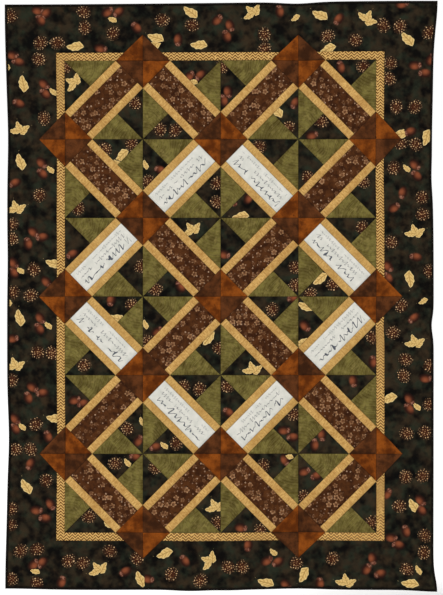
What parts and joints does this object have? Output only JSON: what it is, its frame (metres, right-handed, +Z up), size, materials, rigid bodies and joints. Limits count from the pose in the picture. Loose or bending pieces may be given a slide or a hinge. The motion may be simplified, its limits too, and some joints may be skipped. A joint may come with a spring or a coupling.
{
  "type": "wall-hung quilt",
  "caption": "Pieced patchwork quilt with printed borders, hung by a back sleeve on a rod that rests in two open brackets on a wall rail.",
  "frame": {"origin": "centre of the wall rail's back face, which lies on the wall, level with the rod's axis", "axes": "+X right as seen from the room, +Y into the wall (outward normal of the rail's back face), +Z up; the quilt's front faces -Y"},
  "size_m": [1.2438, 0.0643, 1.7138],
  "materials": {
    "patchwork": "pieced quilting cotton in greens, browns, golds and a dark print, quilted",
    "narrow_border_cloth": "gold cotton with a fine zigzag",
    "dark_print_cloth": "dark cotton printed with cones, acorns and leaves, quilted",
    "point_cloth": "mottled rust and chocolate cotton",
    "batting_fleece": "matt needled cotton fleece",
    "backing_cloth": "plain tan cotton, quilted",
    "binding_cloth": "near-black folded cotton strip",
    "sleeve_cloth": "plain tan cotton tube",
    "pine": "planed, clear sealed",
    "beech": "sanded, waxed",
    "black_steel": "satin black powder coat",
    "zinc_steel": "bright zinc plate"
  },
  "bodies": {
    "rack": {"wall_rail": "pine", "bracket_left": "black_steel", "bracket_right": "black_steel", "bracket_screw_left_upper": "zinc_steel", "bracket_screw_left_lower": "zinc_steel", "bracket_screw_right_upper": "zinc_steel", "bracket_screw_right_lower": "zinc_steel"},
    "rod": {"hanging_rod": "beech"},
    "quilt": {"block_row1_col1": "patchwork", "block_row1_col2": "patchwork", "block_row1_col3": "patchwork", "block_row1_col4": "patchwork", "block_row2_col1": "patchwork", "block_row2_col2": "patchwork", "block_row2_col3": "patchwork", "block_row2_col4": "patchwork", "block_row3_col1": "patchwork", "block_row3_col2": "patchwork", "block_row3_col3": "patchwork", "block_row3_col4": "patchwork", "block_row4_col1": "patchwork", "block_row4_col2": "patchwork", "block_row4_col3": "patchwork", "block_row4_col4": "patchwork", "block_row5_col1": "patchwork", "block_row5_col2": "patchwork", "block_row5_col3": "patchwork", "block_row5_col4": "patchwork", "block_row6_col1": "patchwork", "block_row6_col2": "patchwork", "block_row6_col3": "patchwork", "block_row6_col4": "patchwork", "narrow_border_left": "narrow_border_cloth", "narrow_border_right": "narrow_border_cloth", "narrow_border_top": "narrow_border_cloth", "narrow_border_bottom": "narrow_border_cloth", "outer_border_left": "dark_print_cloth", "outer_border_right": "dark_print_cloth", "outer_border_top": "dark_print_cloth", "outer_border_bottom": "dark_print_cloth", "point_top_left": "point_cloth", "point_top_right": "point_cloth", "point_bottom_left": "point_cloth", "point_bottom_right": "point_cloth", "point_left_upper": "point_cloth", "point_left_middle": "point_cloth", "point_left_lower": "point_cloth", "point_right_upper": "point_cloth", "point_right_middle": "point_cloth", "point_right_lower": "point_cloth", "batting": "batting_fleece", "backing": "backing_cloth", "binding_left": "binding_cloth", "binding_right": "binding_cloth", "binding_top": "binding_cloth", "binding_bottom": "binding_cloth", "hanging_sleeve": "sleeve_cloth"}
  },
  "joints": [
    {"name": "rod_lift", "type": "slide", "parent": "rack", "child": "rod", "axis": [0, 0, 1], "range_m": [0, 0.04]},
    {"name": "quilt_swing", "type": "hinge", "parent": "rod", "child": "quilt", "pos_m": [0, -0.04, 0], "axis": [-1, 0, 0], "range_deg": [0, 25]}
  ]
}
